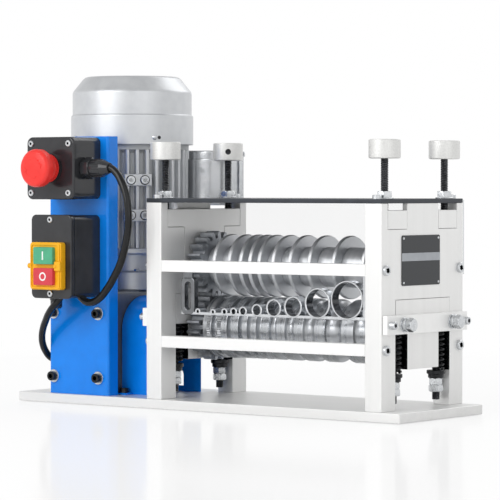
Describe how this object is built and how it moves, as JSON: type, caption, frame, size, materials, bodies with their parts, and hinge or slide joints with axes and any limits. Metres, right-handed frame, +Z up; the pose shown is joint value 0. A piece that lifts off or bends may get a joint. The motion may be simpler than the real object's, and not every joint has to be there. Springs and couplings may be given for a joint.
{
  "type": "electric wire stripper",
  "caption": "Bench cable stripper: vertical motor and worm gearbox drive a grooved feed roller under a roller of disc blades in an open plate frame with adjusting knobs and stop switches.",
  "frame": {"origin": "centre of the base plate's underside", "axes": "+X along the rollers from the motor to the free end, -Y towards the operator, +Z up"},
  "size_m": [0.5, 0.273, 0.352],
  "materials": {
    "machined_aluminium": "fine milled, satin",
    "bright_bar": "bright drawn",
    "zinc_screws": "zinc plated",
    "dark_steel_plate": "satin dark paint",
    "clear_guard": "clear sheet",
    "polished_steel": "turned and polished",
    "gear_steel": "machined",
    "satin_knob": "satin turned",
    "black_oxide": "black oxide",
    "blue_paint": "gloss powder coat",
    "silver_paint": "cast, silver paint",
    "bronze": "cast bronze",
    "winding": "lacquered winding and laminations",
    "black_plastic": "moulded, fine grain",
    "black_rubber": "smooth cable sheath",
    "red_plastic": "moulded",
    "yellow_plastic": "moulded",
    "green_plastic": "moulded"
  },
  "bodies": {
    "frame": {"base_plate": "machined_aluminium", "left_end_plate": "machined_aluminium", "right_end_plate": "machined_aluminium", "tie_bars": "bright_bar", "frame_screws": "zinc_screws", "top_plate": "dark_steel_plate", "lock_nuts": "zinc_screws", "rear_guard": "clear_guard", "wire_guide": "polished_steel", "spring_studs": "black_oxide", "stud_nuts": "zinc_screws", "compression_springs": "black_oxide", "coupling_guard": "blue_paint", "gearbox_housing": "silver_paint", "gearbox_cover": "silver_paint", "motor_end_shield": "silver_paint", "motor_housing": "silver_paint", "stator": "winding", "fan_cowl": "silver_paint", "terminal_box": "silver_paint", "terminal_cover": "silver_paint", "control_panel": "blue_paint", "panel_screws": "zinc_screws", "estop_box": "black_plastic", "estop_lid": "black_plastic", "estop_collar": "black_plastic", "switch_box": "black_plastic", "switch_frame": "yellow_plastic", "contact_blocks": "black_plastic", "cord_glands": "black_plastic", "estop_cord": "black_rubber", "motor_cord": "black_rubber"},
    "upper_carriage": {"upper_carriers": "machined_aluminium", "upper_bearings": "polished_steel"},
    "blade_roller": {"blade_shaft": "polished_steel", "blade_discs": "polished_steel", "blade_spacers": "polished_steel", "blade_gear": "gear_steel"},
    "front_left_adjuster": {"front_left_adjuster": "satin_knob"},
    "front_right_adjuster": {"front_right_adjuster": "satin_knob"},
    "rear_left_adjuster": {"rear_left_adjuster": "satin_knob"},
    "rear_right_adjuster": {"rear_right_adjuster": "satin_knob"},
    "lower_carriage": {"lower_blocks": "machined_aluminium", "lower_bearings": "polished_steel", "crossbars": "bright_bar", "crossbar_screws": "zinc_screws"},
    "feed_roller": {"feed_shaft": "polished_steel", "feed_drums": "polished_steel", "feed_gear": "gear_steel", "feed_coupling_hub": "black_oxide"},
    "output_drive": {"output_shaft": "gear_steel", "worm_wheel": "bronze", "drive_coupling_hub": "black_oxide"},
    "motor_rotor": {"rotor": "gear_steel", "cooling_fan": "black_plastic", "worm": "gear_steel"},
    "estop_plunger": {"estop_plunger": "black_plastic"},
    "estop_button": {"estop_button": "red_plastic"},
    "start_button": {"start_button": "green_plastic"},
    "stop_button": {"stop_button": "red_plastic"}
  },
  "joints": [
    {"name": "upper_lift", "type": "slide", "parent": "frame", "child": "upper_carriage", "axis": [0, 0, 1], "range_m": [0, 0.003]},
    {"name": "blade_roller_spin", "type": "hinge", "parent": "upper_carriage", "child": "blade_roller", "pos_m": [0, 0, 0.1495], "axis": [1, 0, 0], "continuous": true},
    {"name": "front_left_knob_turn", "type": "hinge", "parent": "upper_carriage", "child": "front_left_adjuster", "pos_m": [-0.062, -0.0535, 0.26], "axis": [0, 0, 1], "range_deg": [0, 865]},
    {"name": "front_right_knob_turn", "type": "hinge", "parent": "upper_carriage", "child": "front_right_adjuster", "pos_m": [0.217, -0.0535, 0.26], "axis": [0, 0, 1], "range_deg": [0, 865]},
    {"name": "rear_left_knob_turn", "type": "hinge", "parent": "upper_carriage", "child": "rear_left_adjuster", "pos_m": [-0.062, 0.0535, 0.26], "axis": [0, 0, 1], "range_deg": [0, 865]},
    {"name": "rear_right_knob_turn", "type": "hinge", "parent": "upper_carriage", "child": "rear_right_adjuster", "pos_m": [0.217, 0.0535, 0.26], "axis": [0, 0, 1], "range_deg": [0, 865]},
    {"name": "lower_float", "type": "slide", "parent": "frame", "child": "lower_carriage", "axis": [0, 0, 1], "range_m": [-0.0025, 0], "stiffness_N_per_m": 20000, "springref_m": 0.008, "deforming": ["compression_springs"]},
    {"name": "feed_roller_spin", "type": "hinge", "parent": "lower_carriage", "child": "feed_roller", "pos_m": [0, 0, 0.0845], "axis": [1, 0, 0], "continuous": true},
    {"name": "output_shaft_spin", "type": "hinge", "parent": "frame", "child": "output_drive", "pos_m": [-0.15, 0, 0.0845], "axis": [1, 0, 0], "continuous": true},
    {"name": "motor_rotor_spin", "type": "hinge", "parent": "frame", "child": "motor_rotor", "pos_m": [-0.177, 0.03, 0.2], "axis": [0, 0, 1], "continuous": true},
    {"name": "estop_press", "type": "slide", "parent": "frame", "child": "estop_plunger", "axis": [0, 1, 0], "range_m": [0, 0.005]},
    {"name": "estop_twist", "type": "hinge", "parent": "estop_plunger", "child": "estop_button", "pos_m": [-0.17, -0.135, 0.2515], "axis": [0, 1, 0], "range_deg": [0, 40], "stiffness_Nm_per_rad": 0.05},
    {"name": "start_press", "type": "slide", "parent": "frame", "child": "start_button", "axis": [0, 1, 0], "range_m": [0, 0.003], "stiffness_N_per_m": 500, "springref_m": -0.001},
    {"name": "stop_press", "type": "slide", "parent": "frame", "child": "stop_button", "axis": [0, 1, 0], "range_m": [0, 0.003], "stiffness_N_per_m": 500, "springref_m": -0.001}
  ],
  "couplings": [
    {"joint": "front_left_knob_turn", "follows": "upper_lift", "rad_per_m": 5026.5},
    {"joint": "front_right_knob_turn", "follows": "upper_lift", "rad_per_m": 5026.5},
    {"joint": "rear_left_knob_turn", "follows": "upper_lift", "rad_per_m": 5026.5},
    {"joint": "rear_right_knob_turn", "follows": "upper_lift", "rad_per_m": 5026.5},
    {"joint": "blade_roller_spin", "follows": "feed_roller_spin", "ratio": -1},
    {"joint": "output_shaft_spin", "follows": "feed_roller_spin", "ratio": 1},
    {"joint": "motor_rotor_spin", "follows": "feed_roller_spin", "ratio": -15}
  ]
}
